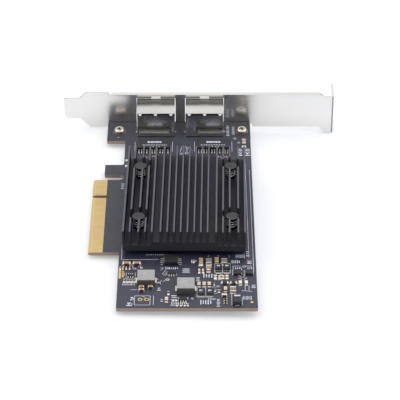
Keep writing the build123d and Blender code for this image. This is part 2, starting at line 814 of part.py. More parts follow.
# Power inductors: blocks with small cut corners
with BuildPart() as power_inductors:
    for across, ahead, wide, deep, height in inductors:
        with BuildSketch(Plane(spot(across, ahead))):
            Rectangle(wide, deep)
        extrude(amount=height)
    chamfer(power_inductors.edges().filter_by(Axis.Z), 0.3)
save(power_inductors, "power_inductors")

# Rectifiers with rounded sides and a larger protection diode
with BuildPart() as rounded_rectifiers:
    for across, ahead, wide, deep, height in rectifiers:
        with BuildSketch(Plane(spot(across, ahead))):
            RectangleRounded(wide, deep, 0.6)
        extrude(amount=height)
save(rounded_rectifiers, "rectifiers")

with BuildPart() as protection_diode:
    across, ahead, wide, deep, height = protector
    with BuildSketch(Plane(spot(across, ahead))):
        Rectangle(wide, deep)
    extrude(amount=height, taper=4)
save(protection_diode, "protection_diode")

# Groups of plain surface mounted parts
for near_group, far_group, name in (
    (transistors, (), "power_transistors"),
    (capacitors, far_capacitors, "ceramic_capacitors"),
    (resistors, far_resistors, "chip_resistors"),
):
    places = [(spot(across, ahead), size) for across, ahead, *size in near_group]
    places += [(far_spot(across, back), size) for across, back, *size in far_group]
    with BuildPart() as chips:
        for place, (wide, deep, height) in places:
            with BuildSketch(Plane(place)):
                Rectangle(wide, deep)
            extrude(amount=height)
    save(chips, name)
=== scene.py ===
# Dual port network card on a white table. Metres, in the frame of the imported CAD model.
import math

import bpy
from mathutils import Matrix, Vector


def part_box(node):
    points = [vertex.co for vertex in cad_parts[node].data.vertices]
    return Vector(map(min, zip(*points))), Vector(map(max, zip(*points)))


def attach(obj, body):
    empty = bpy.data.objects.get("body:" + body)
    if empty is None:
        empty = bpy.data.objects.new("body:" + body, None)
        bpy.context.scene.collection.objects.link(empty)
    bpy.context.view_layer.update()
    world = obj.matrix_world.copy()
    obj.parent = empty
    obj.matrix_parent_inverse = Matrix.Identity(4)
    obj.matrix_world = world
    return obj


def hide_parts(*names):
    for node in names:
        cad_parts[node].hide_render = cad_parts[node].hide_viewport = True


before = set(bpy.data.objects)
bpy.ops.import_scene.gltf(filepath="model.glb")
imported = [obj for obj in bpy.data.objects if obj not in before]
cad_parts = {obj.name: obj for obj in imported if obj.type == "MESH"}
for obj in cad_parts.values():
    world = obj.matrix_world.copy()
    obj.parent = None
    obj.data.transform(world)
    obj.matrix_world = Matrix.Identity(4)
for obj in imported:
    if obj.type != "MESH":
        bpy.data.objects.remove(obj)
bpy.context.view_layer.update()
mm = 0.001
boardLow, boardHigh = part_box("circuit_board")
boardTop = boardHigh.z
print("frame loaded:", len(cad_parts), "nodes")


# Shader helpers: sockets that read as maths, and one method for every node
class Wire:  # one output socket, so that shader maths reads as maths
    def __init__(self, finish, socket):
        self.finish = finish
        self.socket = socket

    def of(self, output):
        return Wire(self.finish, self.socket.node.outputs[output])

    def maths(self, operation, first, second):
        return self.finish.node("Math", {"operation": operation}, {0: first, 1: second})

    def __add__(self, other):
        return self.maths("ADD", self, other)

    def __sub__(self, other):
        return self.maths("SUBTRACT", self, other)

    def __rsub__(self, other):
        return self.maths("SUBTRACT", other, self)

    def __mul__(self, other):
        return self.maths("MULTIPLY", self, other)

    def __gt__(self, other):
        return self.maths("GREATER_THAN", self, other)

    def __lt__(self, other):
        return self.maths("LESS_THAN", self, other)

    def __abs__(self):
        return self.maths("ABSOLUTE", self, 0)


class Finish:  # a material, or the world's own tree, and the nodes that make it
    def __init__(self, name, tree=None):
        if tree is None:
            self.material = bpy.data.materials.new(name)
            self.material.use_nodes = True
            tree = self.material.node_tree
        self.tree = tree
        self.tree.nodes.clear()
        self.place = self.node("TexCoord", {}, {}, "Object")

    def node(self, kind, settings, sockets, output=0):
        made = self.tree.nodes.new("ShaderNode" + kind)
        for key, value in settings.items():
            setattr(made, key, value)
        for key, value in sockets.items():
            if isinstance(value, Wire):
                self.tree.links.new(value.socket, made.inputs[key])
            elif made.inputs[key].type == "RGBA":
                made.inputs[key].default_value = (*value, 1)
            else:
                made.inputs[key].default_value = value
        return Wire(self, made.outputs[output]) if made.outputs else made

    def noise(self, scale, detail=3, roughness=0.55, stretch=(1, 1, 1)):
        place = self.place
        if stretch != (1, 1, 1):
            place = self.node("Mapping", {}, {"Vector": place, "Scale": stretch})
        return self.node(
            "TexNoise", {}, {"Vector": place, "Scale": scale, "Detail": detail, "Roughness": roughness}
        )

    def mix(self, factor, low, high):
        return self.node("Mix", {"data_type": "RGBA"}, {0: factor, 6: low, 7: high}, 2)

    def spread(self, value, low, high):  # a noise value's usual range, mapped to low and high
        return self.node("MapRange", {}, {"Value": value, 1: 0.3, 2: 0.7, 3: low, 4: high})

    def bump(self, height, strength, distance):
        return self.node("Bump", {}, {"Strength": strength, "Distance": distance, "Height": height})

    def axes(self, vector):
        apart = self.node("SeparateXYZ", {}, {0: vector})
        return apart.of("X"), apart.of("Y"), apart.of("Z")

    def surface(self, **sockets):
        names = {key: key.replace("_", " ") for key in sockets}
        shader = self.node("BsdfPrincipled", {}, {names[key]: value for key, value in sockets.items()})
        self.node("OutputMaterial", {}, {"Surface": shader})
        return self.material


# Finishes, each with its values beside it
boardLook = {
    "mask": (0.022, 0.023, 0.039),  # the lacquer, and the same over copper
    "copper": (0.034, 0.036, 0.056),
    "glassEpoxy": (0.30, 0.225, 0.16),
    "layers": (0.16, 0.12, 0.09),
    "bare": (0.58, 0.42, 0.19),
    "bevel": (0.50, 0.38, 0.12),
    "maskStart": 5.9 * mm,
    "tabEnd": 13.5 * mm,
    "facing": (0.6, 0.97),  # steepest face that counts as the bevel and as the board's own face
    "bevelRun": 0.9 * mm,
    "core": (0.2 * mm, 0.52 * mm),  # heights, either way from the middle, between which the layers show
    "roughness": (0.31, 0.43),
    "edgeHaze": 0.2,
    "trackCell": 2.2 * mm,
    "trackWidth": 0.13,
    "viaCell": 3.1 * mm,
    "viaRing": (0.05, 0.11),
    "pour": (90, 0.52),  # scale, and the share above which copper lies under the lacquer
    "relief": (0.25, 0.04 * mm),
}


def boardFinish(look):
    f = Finish("solderMask")
    x, y, z = f.axes(f.place)
    normalZ = abs(f.axes(f.place.of("Normal"))[2])
    bevelFacing, flatFacing = look["facing"]
    tab = (normalZ > bevelFacing) * (x < look["maskStart"]) * (y < look["tabEnd"])
    masked = (normalZ > flatFacing) * (1 - tab)
    cell = {"Vector": f.place, "Scale": 1 / look["trackCell"]}
    nearest = f.node("TexVoronoi", {"feature": "F1", "distance": "MANHATTAN"}, cell)
    second = f.node("TexVoronoi", {"feature": "F2", "distance": "MANHATTAN"}, cell)
    tracks = (second - nearest) < look["trackWidth"]
    vias = f.node("TexVoronoi", {"feature": "F1"}, {"Vector": f.place, "Scale": 1 / look["viaCell"]})
    inner, outer = look["viaRing"]
    rings = (vias < outer) * (vias > inner)
    scale, share = look["pour"]
    pour = f.noise(scale, 2) > share
    copper = f.spread(tracks * 0.35 + rings * 0.5 + pour * 0.3, 0, 1)
    nearMiddle, nearFace = look["core"]
    core = (abs(z) < nearFace) * (abs(z) > nearMiddle)
    grain = f.noise(2600, 2, stretch=(1, 1, 6))
    cut = f.mix(core * f.spread(grain, 0.2, 0.9), look["glassEpoxy"], look["layers"])
    edge = f.mix(tab, cut, f.mix(x < look["bevelRun"], look["bare"], look["bevel"]))
    coat = f.mix(copper, look["mask"], look["copper"])
    return f.surface(
        Base_Color=f.mix(masked, edge, coat),
        Roughness=f.spread(f.noise(260, 3), *look["roughness"]) + (1 - masked) * look["edgeHaze"],
        Normal=f.bump(tracks * 0.6 + pour * 0.5 + rings + f.noise(900, 2) * 0.3, *look["relief"]),
    )


goldLook = {
    "fresh": (0.65, 0.50, 0.24),
    "rubbed": (0.56, 0.42, 0.19),
    "roughness": (0.28, 0.44),
    "relief": (0.12, 0.02 * mm),
}


def goldFinish(look):
    f = Finish("goldPlate")
    wear = f.noise(700, 4, stretch=(0.25, 1, 1))
    return f.surface(
        Base_Color=f.mix(f.spread(wear, 0, 1), look["fresh"], look["rubbed"]),
        Metallic=1.0,
        Roughness=f.spread(f.noise(1500, 3, stretch=(0.2, 1, 1)), *look["roughness"]),
        Normal=f.bump(f.noise(3500, 2, stretch=(0.1, 1, 1)), *look["relief"]),
    )


anodisedLook = {
    # the pale colour: the die streaks lean towards it, and it is the painted light on upward faces and the painted
    # highlight on crests
    "streakAndHighlight": (0.098, 0.095, 0.114),
    "deep": (0.016, 0.016, 0.021),
    "floor": 0.12,  # painted light: how far the upward faces lean towards the pale colour
    "top": 0.75,  # painted highlight: how far the crests' tops lean towards it
    "crestDepth": 0.12 * mm,
    "drawn": (1, 0.012, 1),  # the die's fine lines run along the fins
    "roughness": (0.35, 0.48),
    "gloss": 0.18,
    "relief": (0.18, 0.03 * mm),
}


def anodisedFinish(look):
    f = Finish("blackAnodised")
    drawn = f.noise(2400, 3, stretch=look["drawn"])
    # painted light on upward faces, and painted highlight on the crests' tops within a small depth of the heatsink's
    # top
    upward = f.axes(f.place.of("Normal"))[2] > 0.8
    top = (f.axes(f.place)[2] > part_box("heatsink")[1].z - look["crestDepth"]) * upward
    pale = f.spread(drawn, 0, 0.25) + top * look["top"] + upward * look["floor"]
    return f.surface(
        Base_Color=f.mix(pale, look["deep"], look["streakAndHighlight"]),
        Specular_IOR_Level=look["gloss"],
        Roughness=f.spread(f.noise(600, 3), *look["roughness"]),
        Normal=f.bump(drawn, *look["relief"]),
    )


def metalFinish(name, look, stretch=(1, 1, 1)):
    # topHaze and rearHaze: how much rougher the upward faces and those towards -y are than the others. bracketShade:
    # y where the painted shade starts and ends, colour. rim: colour, share, how squarely a face looks along an axis
    # to stay clear of it.
    # recess: colour of the painted shade, share, height
    f = Finish(name)
    brushed = f.noise(look["grain"], 3, 0.6, stretch=stretch)
    cloud = f.noise(40, 2)
    facing = f.axes(f.place.of("Normal"))
    haze = (facing[2] > 0.7) * look.get("topHaze", 0) + (facing[1] < -0.9) * look.get("rearHaze", 0)
    tone = f.mix(f.spread(cloud, 0, 1), look["light"], look["dark"])
    if "bracketShade" in look:  # painted shade and reflection: the top is darkened where it runs in under the bracket
        start, end, colour = look["bracketShade"]
        y = f.axes(f.place)[1]
        tone = f.mix((facing[2] > 0.7) * (y < end) * (y - start) * (1 / (end - start)), tone, colour)
    if "rim" in look:  # the rounded cut edges are darker than the faces
        x, y, z = (abs(value) for value in facing)
        colour, share, flat = look["rim"]
        tone = f.mix((x < flat) * (y < flat) * (z < flat) * share, tone, colour)
    if "recess" in look:  # painted shade: faces below a height, the cross in a screw's head among them, are darkened
        colour, share, low = look["recess"]
        tone = f.mix((f.axes(f.place)[2] < low) * share, tone, colour)
    smooth, rough = look["roughness"] - 0.02, look["roughness"] + 0.03
    return f.surface(
        Base_Color=tone,
        Metallic=1.0,
        Roughness=f.spread(brushed * 0.5 + cloud * 0.5, smooth, rough) + haze,
        Normal=f.bump(brushed, look["brush"], 0.01 * mm),
    )


bracketLook = {
    "light": (0.78, 0.762, 0.73), "dark": (0.735, 0.717, 0.685), "rim": ((0.16, 0.15, 0.14), 0.8, 0.96),
    "roughness": 0.22, "grain": 1400, "brush": 0.02,
}
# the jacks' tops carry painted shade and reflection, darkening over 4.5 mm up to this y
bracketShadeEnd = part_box("left_jack_shield")[1].y - 1.8 * mm
shieldLook = {
    "light": (0.72, 0.71, 0.69), "dark": (0.64, 0.63, 0.61),
    "bracketShade": (bracketShadeEnd - 4.5 * mm, bracketShadeEnd, (0.04, 0.037, 0.033)),
    "roughness": 0.12, "topHaze": 0.06, "rearHaze": 0.07, "grain": 900, "brush": 0.02,
}
screwLook = {
    "light": (0.76, 0.72, 0.65), "dark": (0.60, 0.56, 0.49),
    # painted shade in the screws' cross recess: colour, share, height below which it lies
    "recess": ((0.10, 0.09, 0.08), 0.85, boardTop + 1.25 * mm),
    "roughness": 0.14, "grain": 2200, "brush": 0.04,
}
tinLook = {
    "light": (0.70, 0.66, 0.58), "dark": (0.58, 0.54, 0.47), "roughness": 0.20, "grain": 1800, "brush": 0.06,
}
# a darker copy of tin for the transformers' leads: painted shade
shadedLeadLook = {
    "light": (0.46, 0.43, 0.37), "dark": (0.34, 0.32, 0.27), "roughness": 0.16, "grain": 1800, "brush": 0.04,
}
solderLook = {
    "light": (0.82, 0.78, 0.70), "dark": (0.62, 0.58, 0.50), "roughness": 0.40, "grain": 1500, "brush": 0.12,
}
springLook = {
    "light": (0.72, 0.70, 0.66), "dark": (0.50, 0.48, 0.45), "roughness": 0.14, "grain": 2500, "brush": 0.05,
}


def mouldedFinish(name, look):
    f = Finish(name)
    speck = f.noise(look["grain"], 3, 0.6)
    return f.surface(
        Base_Color=f.mix(f.spread(f.noise(look["patch"], 3), 0, 1), look["dark"], look["light"]),
        Roughness=f.spread(speck, look["roughness"] - 0.06, look["roughness"] + 0.08),
        Normal=f.bump(speck, look["relief"], 0.03 * mm),
    )


chipLook = {
    "dark": (0.006, 0.006, 0.007), "light": (0.014, 0.014, 0.016), "patch": 700,
    "roughness": 0.46, "grain": 6000, "relief": 0.25,
}
nylonLook = {
    "dark": (0.009, 0.009, 0.012), "light": (0.024, 0.024, 0.031), "patch": 400,
    "roughness": 0.50, "grain": 2600, "relief": 0.12,
}
housingLook = {
    "dark": (0.010, 0.010, 0.011), "light": (0.020, 0.020, 0.022), "patch": 260,
    "roughness": 0.46, "grain": 2400, "relief": 0.15,
}
resistorLook = {
    "dark": (0.012, 0.012, 0.014), "light": (0.022, 0.022, 0.026), "patch": 500,
    "roughness": 0.40, "grain": 3500, "relief": 0.12,
}
padLook = {
    "dark": (0.34, 0.40, 0.46), "light": (0.44, 0.50, 0.56), "patch": 300,
    "roughness": 0.80, "grain": 1500, "relief": 0.2,
}
printLook = {
    "dark": (0.46, 0.48, 0.57), "light": (0.64, 0.66, 0.77), "patch": 1800,
    "roughness": 0.62, "grain": 5000, "relief": 0.1,
}

ceramicLook = {
    "tan": ((0.46, 0.25, 0.10), (0.34, 0.17, 0.07)),
    "grey": ((0.20, 0.17, 0.13), (0.14, 0.12, 0.09)),
    "sand": ((0.66, 0.50, 0.30), (0.52, 0.39, 0.23)),
    "pale": ((0.74, 0.70, 0.62), (0.60, 0.54, 0.46)),
    # painted shade: the colour of every face that does not look up
    "side": (0.055, 0.032, 0.018),
    "roughness": 0.42,
}


def ceramicFinish(name, tone, look):
    # the top shows the fired colour, the sides get painted shade
    f = Finish(name)
    unshadedFaces = f.axes(f.place.of("Normal"))[2] > 0.5
    speck = f.noise(4200, 3)
    cloud = f.mix(f.spread(f.noise(420, 2), 0, 1), *look[tone])
    return f.surface(
        # painted shade on the sides, the fired colour on top
        Base_Color=f.mix(unshadedFaces, look["side"], cloud),
        Roughness=f.spread(speck, look["roughness"] - 0.06, look["roughness"] + 0.08),
        Normal=f.bump(speck, 0.2, 0.02 * mm),
    )


ferriteLook = {
    "top": ((0.35, 0.345, 0.335), (0.27, 0.265, 0.255)),
    # painted shade: the colours of every face that does not look up
    "side": ((0.085, 0.078, 0.068), (0.040, 0.037, 0.033)),
    "roughness": 0.55,
}


def ferriteFinish(look):
    # a pale top on a pressed block whose sides carry painted shade
    f = Finish("pressedFerrite")
    unshadedFaces = f.axes(f.place.of("Normal"))[2] > 0.6
    speck = f.noise(3600, 3)
    cloud = f.spread(f.noise(500, 3) * 0.6 + speck * 0.4, 0, 1)
    return f.surface(
        # painted shade on the sides, the pale colour on top
        Base_Color=f.mix(unshadedFaces, f.mix(cloud, *look["side"]), f.mix(cloud, *look["top"])),
        Roughness=f.spread(speck, look["roughness"] - 0.06, look["roughness"] + 0.08),
        Normal=f.bump(speck, 0.3, 0.03 * mm),
    )


pipeLook = {"clear": (0.72, 0.78, 0.66), "milky": (0.62, 0.70, 0.55), "roughness": (0.20, 0.33), "through": 0.6}


def pipeFinish(look):
    f = Finish("lightPipe")
    return f.surface(
        Base_Color=f.mix(f.spread(f.noise(500, 2), 0, 1), look["clear"], look["milky"]),
        Roughness=f.spread(f.noise(1200, 2), *look["roughness"]),
        Transmission_Weight=look["through"],
    )


solderMask = boardFinish(boardLook)
gold = goldFinish(goldLook)
anodised = anodisedFinish(anodisedLook)
bracketMetal = metalFinish("satinSteel", bracketLook, (1, 1, 0.08))
shieldMetal = metalFinish("tinnedShield", shieldLook, (1, 0.2, 1))
screwMetal = metalFinish("platedScrew", screwLook)
tin = metalFinish("tin", tinLook)
springWire = metalFinish("springWire", springLook)
chipBlack = mouldedFinish("chipBlack", chipLook)
nylonBlack = mouldedFinish("nylonBlack", nylonLook)
housingBlack = mouldedFinish("housingBlack", housingLook)
ferrite = ferriteFinish(ferriteLook)
softPad = mouldedFinish("softPad", padLook)
ink = mouldedFinish("printedInk", printLook)
ceramicTan = ceramicFinish("tanCeramic", "tan", ceramicLook)
ceramicGrey = ceramicFinish("greyCeramic", "grey", ceramicLook)
ceramicSand = ceramicFinish("sandCeramic", "sand", ceramicLook)
ceramicPale = ceramicFinish("paleCeramic", "pale", ceramicLook)
solder = metalFinish("solder", solderLook)
shadedLeadTin = metalFinish("shadedLeadTin", shadedLeadLook)
resistorBlack = mouldedFinish("resistorBlack", resistorLook)
clearPipe = pipeFinish(pipeLook)
print("finishes made")


# Modelling helpers
weld = 0.0005 * mm  # points closer than this are one point
flatAngle = math.radians(0.5)  # faces that meet at less than this are one face
cornerAngle = math.radians(40)  # edges that meet at more than this are rounded


def only(piece):  # nothing else selected
    bpy.ops.object.select_all(action="DESELECT")
    piece.select_set(True)
    bpy.context.view_layer.objects.active = piece


def edit(piece):
    only(piece)
    bpy.ops.object.mode_set(mode="EDIT")
    bpy.ops.mesh.select_all(action="SELECT")


def done():
    bpy.ops.object.mode_set(mode="OBJECT")


def modify(piece, kind, **settings):
    only(piece)
    modifier = piece.modifiers.new(kind.lower(), kind)
    for key, value in settings.items():
        setattr(modifier, key, value)
    bpy.ops.object.modifier_apply(modifier=modifier.name)


def twin(piece, matrix):  # a copy with its own mesh and its place in the mesh
    made = piece.copy()
    made.data = piece.data.copy()
    made.data.transform(matrix)
    bpy.context.scene.collection.objects.link(made)
    return made


def joined(parts, name):
    bpy.ops.object.select_all(action="DESELECT")
    for part in parts:
        part.select_set(True)
    bpy.context.view_layer.objects.active = parts[0]
    bpy.ops.object.join()
    parts[0].name = name
    return parts[0]


def seat(piece):  # the object's place goes into its mesh
    only(piece)
    bpy.ops.object.transform_apply(location=True, rotation=True, scale=True)


def soften(piece, edge, segments=2, smooth=35):  # rounded edges, and smooth shading below an angle
    if edge:
        modify(
            piece, "BEVEL", width=edge, segments=segments, limit_method="ANGLE",
            angle_limit=cornerAngle, use_clamp_overlap=True,
        )
    only(piece)
    bpy.ops.object.shade_smooth_by_angle(angle=math.radians(smooth))
    if edge:
        modify(piece, "WEIGHTED_NORMAL", keep_sharp=True, weight=100)


def paint(piece, finish):
    piece.data.materials.clear()
    piece.data.materials.append(finish)


def ship(piece, finish, slot, *nodes):  # painted, rides on the card and stands for its CAD nodes
    paint(piece, finish)
    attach(piece, "root")
    if nodes:
        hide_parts(*nodes)
    return piece


def dressed(node, finish, slot, edge, segments=2, smooth=35, dissolve=True):
    # a copy of a CAD node with merged faces and soft edges
    only(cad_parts[node])
    bpy.ops.object.duplicate()
    piece = bpy.context.object
    for key in list(piece.keys()):
        del piece[key]
    piece.name = node + "_dressed"
    edit(piece)
    bpy.ops.mesh.remove_doubles(threshold=weld)
    if dissolve:
        bpy.ops.mesh.dissolve_limited(angle_limit=flatAngle)
    done()
    soften(piece, edge, segments, smooth)
    return ship(piece, finish, slot, node)


def solidsOf(node):  # lowest and highest corner of each solid in a CAD node
    only(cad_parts[node])
    bpy.ops.object.duplicate()
    copy = bpy.context.object
    edit(copy)
    bpy.ops.mesh.remove_doubles(threshold=weld)
    bpy.ops.mesh.separate(type="LOOSE")
    done()
    boxes = []
    for part in list(bpy.context.selected_objects):
        corners = [Vector(c) for c in part.bound_box]
        boxes.append((Vector(map(min, *corners)), Vector(map(max, *corners))))
    bpy.ops.object.delete()
    return sorted(boxes, key=lambda b: tuple(b[0]))


# Camera, light and table
cameraLook = {"focal": 164.76, "place": (43.81, -634.74, 439.63), "down": 34.768, "turn": 0.137, "near": 0.01}
bpy.ops.object.camera_add(
    location=[value * mm for value in cameraLook["place"]],
    rotation=(math.radians(90 - cameraLook["down"]), 0, -math.radians(cameraLook["turn"])),
)
camera = bpy.context.object
camera.data.lens = cameraLook["focal"]
camera.data.clip_start = cameraLook["near"]
bpy.context.scene.camera = camera

tableLook = {
    "foot": (-3.7 * mm, 59.5 * mm, -2.52 * mm),  # where the card's low corner rests
    "tilt": (-0.16, 1.62),  # degrees about x and y, because the card leans on its bracket
    "size": 4.0,
    "white": (0.86, 0.87, 0.90),
    "glow": 0.35,
}
bpy.ops.object.select_all(action="DESELECT")
bpy.ops.mesh.primitive_plane_add(
    size=tableLook["size"],
    location=tableLook["foot"],
    rotation=[math.radians(value) for value in (*tableLook["tilt"], 0)],
)
table = bpy.context.object
table.name = "table"
f = Finish("whiteTable")
looked = f.node("LightPath", {}, {}, "Is Camera Ray")
diffuse = f.node("BsdfDiffuse", {}, {"Color": tableLook["white"]})
glow = f.node("Emission", {}, {"Color": (1, 1, 1)})
top = f.node("MixShader", {}, {0: looked * tableLook["glow"], 1: diffuse, 2: glow})
f.node("OutputMaterial", {}, {"Surface": top})
table.data.materials.append(f.material)

# name, place in metres, angles in degrees, size, power, colour
lampLook = (
    ("overhead", (0.05, 0.10, 1.10), (0, 0, 0), 1.6, 9.0, (1.0, 1.0, 1.0)),
    ("leftSide", (-1.10, -0.20, 0.70), (0, -62, 0), 0.9, 4.0, (1.0, 0.99, 0.97)),
    ("rightSide", (1.20, -0.10, 0.70), (0, 60, 0), 0.9, 4.0, (0.97, 0.99, 1.0)),
)
for name, place, angles, size, power, colour in lampLook:
    bpy.ops.object.light_add(type="AREA", location=place, rotation=[math.radians(a) for a in angles])
    lamp = bpy.context.object
    lamp.name = name
    lamp.data.size = size
    lamp.data.energy = power
    lamp.data.color = colour

worldLook = {"light": (0.92, 0.95, 1.0), "strength": 0.75}
world = bpy.data.worlds.new("studio")
bpy.context.scene.world = world
world.use_nodes = True
sky = Finish("studio", world.node_tree)
seen = sky.node("LightPath", {}, {}, "Is Camera Ray")
mirrored = seen.of("Is Glossy Ray") + seen.of("Is Transmission Ray")
soft = sky.node("Background", {}, {"Color": worldLook["light"], "Strength": worldLook["strength"]})
white = sky.node("Background", {}, {"Color": (1, 1, 1), "Strength": 1.0})
both = sky.node("MixShader", {}, {0: seen + mirrored > 0.5, 1: soft, 2: white})
sky.node("OutputWorld", {}, {"Surface": both})
bpy.context.scene.view_settings.view_transform = "Standard"
print("camera, lamps and table placed")


# Boxes, bent leads and marks, each made once and copied to its places
def pick(piece, test):  # edit mode, with the faces that pass a test on centre and normal selected
    only(piece)
    bpy.ops.object.mode_set(mode="EDIT")
    bpy.ops.mesh.select_mode(type="FACE")
    bpy.ops.mesh.select_all(action="DESELECT")
    bpy.ops.object.mode_set(mode="OBJECT")
    for face in piece.data.polygons:
        face.select = test(face.center, face.normal)
    bpy.ops.object.mode_set(mode="EDIT")


partingShare = 0.45  # height of a moulded body's parting line


def block(low, high, draft=0, edge=0, segments=2):
    # a box between two corners, drawn in by the draft at its top and bottom
    low, high = Vector(low), Vector(high)
    middle, size = (low + high) / 2, high - low
    bpy.ops.object.select_all(action="DESELECT")
    bpy.ops.mesh.primitive_cube_add(size=1, location=middle, scale=size)
    piece = bpy.context.object
    seat(piece)
    if draft:
        edit(piece)
        bpy.ops.mesh.bisect(plane_co=low + size * partingShare, plane_no=(0, 0, 1))
        done()
        for level, facing in ((high.z, 1), (low.z, -1)):
            pick(piece, lambda centre, normal: normal.z * facing > 0.9)
            shrink = ((size.x - 2 * draft) / size.x, (size.y - 2 * draft) / size.y, 1)
            bpy.ops.transform.resize(value=shrink, center_override=(middle.x, middle.y, level))
            done()
    soften(piece, edge, segments)
    return piece


# shoulder, slope and foot: parts of a lead's reach. padAt and padShare: the pad's middle and length as parts of it
leadShape = {
    "thick": 0.2, "inside": 0.1, "shoulder": 0.25, "slope": 0.2, "foot": 0.55, "bevel": 0.25,
    "padAt": 0.72, "padShare": 0.56, "padOut": 0.15, "padThick": 0.05, "padEdge": 0.02,
}


def bentLead(width, thick, rise, reach):
    # one lead that leaves the body at y = 0, drops and runs out along the board towards -y
    inside = leadShape["inside"] * mm
    bpy.ops.object.select_all(action="DESELECT")
    bpy.ops.mesh.primitive_plane_add(size=1, location=(0, inside, rise), rotation=(math.radians(90), 0, 0))
    piece = bpy.context.object
    piece.scale = (width, thick, 1)
    seat(piece)
    edit(piece)
    for out, down in (
        (inside + leadShape["shoulder"] * reach, 0),
        (leadShape["slope"] * reach, rise - thick / 2),
        (leadShape["foot"] * reach, 0),
    ):
        bpy.ops.mesh.extrude_region_move(TRANSFORM_OT_translate={"value": (0, -out, -down)})
    bpy.ops.mesh.select_all(action="SELECT")
    bpy.ops.mesh.normals_make_consistent(inside=False)
    done()
    soften(piece, thick * leadShape["bevel"], 1, 60)
    return piece


def at(x, y, z=boardTop / mm, turn=0, scale=(1, 1, 1)):
    # a place in millimetres, turned in degrees about z
    return (
        Matrix.Translation(Vector((x, y, z)) * mm)
        @ Matrix.Rotation(math.radians(turn), 4, "Z")
        @ Matrix.Diagonal((*scale, 1))
    )


def placed(model, *places):  # one model copied to its places, the model itself deleted
    made = [twin(model, place) for place in places]
    bpy.data.objects.remove(model)
    return made


def finished(parts, name, finish, slot, *nodes):  # parts joined into one piece of the card
    return ship(joined(parts, name), finish, slot, *nodes)


solids = {
    node: solidsOf(node)
    for node in (
        "pin_springs", "ceramic_capacitors", "chip_resistors", "power_transistors", "rectifiers",
        "protection_diode", "power_inductors",
    )
}

# Parts of the card that keep their CAD shape, with merged faces and soft edges: finish, slot, edge, segments
softEdges = {
    "bracket": (bracketMetal, "bracket_steel", 0.18 * mm, 2),
    "bracket_screws": (screwMetal, "screw_steel", 0.12 * mm, 2),
    "push_pins": (nylonBlack, "black_nylon", 0.22 * mm, 3),
    "controller_chip": (chipBlack, "chip_plastic", 0.10 * mm, 2),
    "thermal_pad": (softPad, "thermal_pad", 0.08 * mm, 2),
    "jack_light_pipes": (clearPipe, "light_pipe", 0.15 * mm, 2),
    "left_jack_housing": (housingBlack, "housing_plastic", 0.10 * mm, 2),
    "right_jack_housing": (housingBlack, "housing_plastic", 0.10 * mm, 2),
    "left_jack_contacts": (gold, "gold", 0.05 * mm, 2),
    "right_jack_contacts": (gold, "gold", 0.05 * mm, 2),
}
for node, (finish, slot, edge, segments) in softEdges.items():
    dressed(node, finish, slot, edge, segments)
dressed("heatsink", anodised, "black_anodised", 0.07 * mm, 1, dissolve=False)
for node in ("left_jack_shield", "right_jack_shield"):
    dressed(node, shieldMetal, "shield_metal", 0.06 * mm, 2, dissolve=False)
dressed("circuit_board", solderMask, "solder_mask", 0, smooth=20, dissolve=False)
paint(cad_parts["edge_contacts"], gold)
print("board, bracket, jacks and heatsink dressed")

# Springs under the push pin heads
springShape = {"coil": 1.9 * mm, "wire": 0.25 * mm, "sides": 10, "turns": 3.5, "steps": 28}
springs = solids["pin_springs"]
foot, head = springs[0][0].z + springShape["wire"], springs[0][1].z - springShape["wire"]
bpy.ops.object.select_all(action="DESELECT")
bpy.ops.mesh.primitive_circle_add(
    vertices=springShape["sides"], radius=springShape["wire"],
    location=(springShape["coil"], 0, 0), rotation=(math.radians(90), 0, 0),
)
coil = bpy.context.object
seat(coil)
turns = springShape["turns"]
steps = int(springShape["steps"] * turns)
modify(
    coil, "SCREW", axis="Z", angle=math.radians(360 * turns), screw_offset=head - foot,
    steps=steps, render_steps=steps, use_merge_vertices=False,
)
edit(coil)
bpy.ops.mesh.region_to_loop()
bpy.ops.mesh.edge_face_add()
bpy.ops.mesh.select_all(action="SELECT")
bpy.ops.mesh.normals_make_consistent(inside=False)
done()
soften(coil, 0, smooth=60)
places = [at((low.x + high.x) / 2 / mm, (low.y + high.y) / 2 / mm, foot / mm) for low, high in springs]
finished(placed(coil, *places), "push_pin_springs", springWire, "spring_steel", "pin_springs")
print("springs wound")

# Moulded bodies with bent leads: reach past the body, then (turn, leads, pitch) for each side with leads
bodyShape = {"lift": 0.12, "draft": 0.1}
leadedParts = {
    "left_transformer": {"reach": (0, 1.65), "sides": ((0, 12, 1.15), (180, 12, 1.15)), "width": 0.4, "edge": 0.14},
    "right_transformer": {"reach": (0, 1.65), "sides": ((0, 12, 1.15), (180, 12, 1.15)), "width": 0.4, "edge": 0.14},
    "flash_chip": {"reach": (1.45, 0), "sides": ((90, 4, 1.27), (270, 4, 1.27)), "width": 0.42, "edge": 0.08},
    "regulator_chip": {"reach": (0, 0.6), "sides": ((0, 3, 0.95), (180, 3, 0.95)), "width": 0.32, "edge": 0.06},
    "supervisor_chip": {"reach": (0, 0.7), "sides": ((0, 3, 0.95), (180, 3, 0.95)), "width": 0.32, "edge": 0.06},
    "gate_chip": {"reach": (0, 0.6), "sides": ((0, 3, 0.95), (180, 2, 1.9)), "width": 0.32, "edge": 0.06},
}
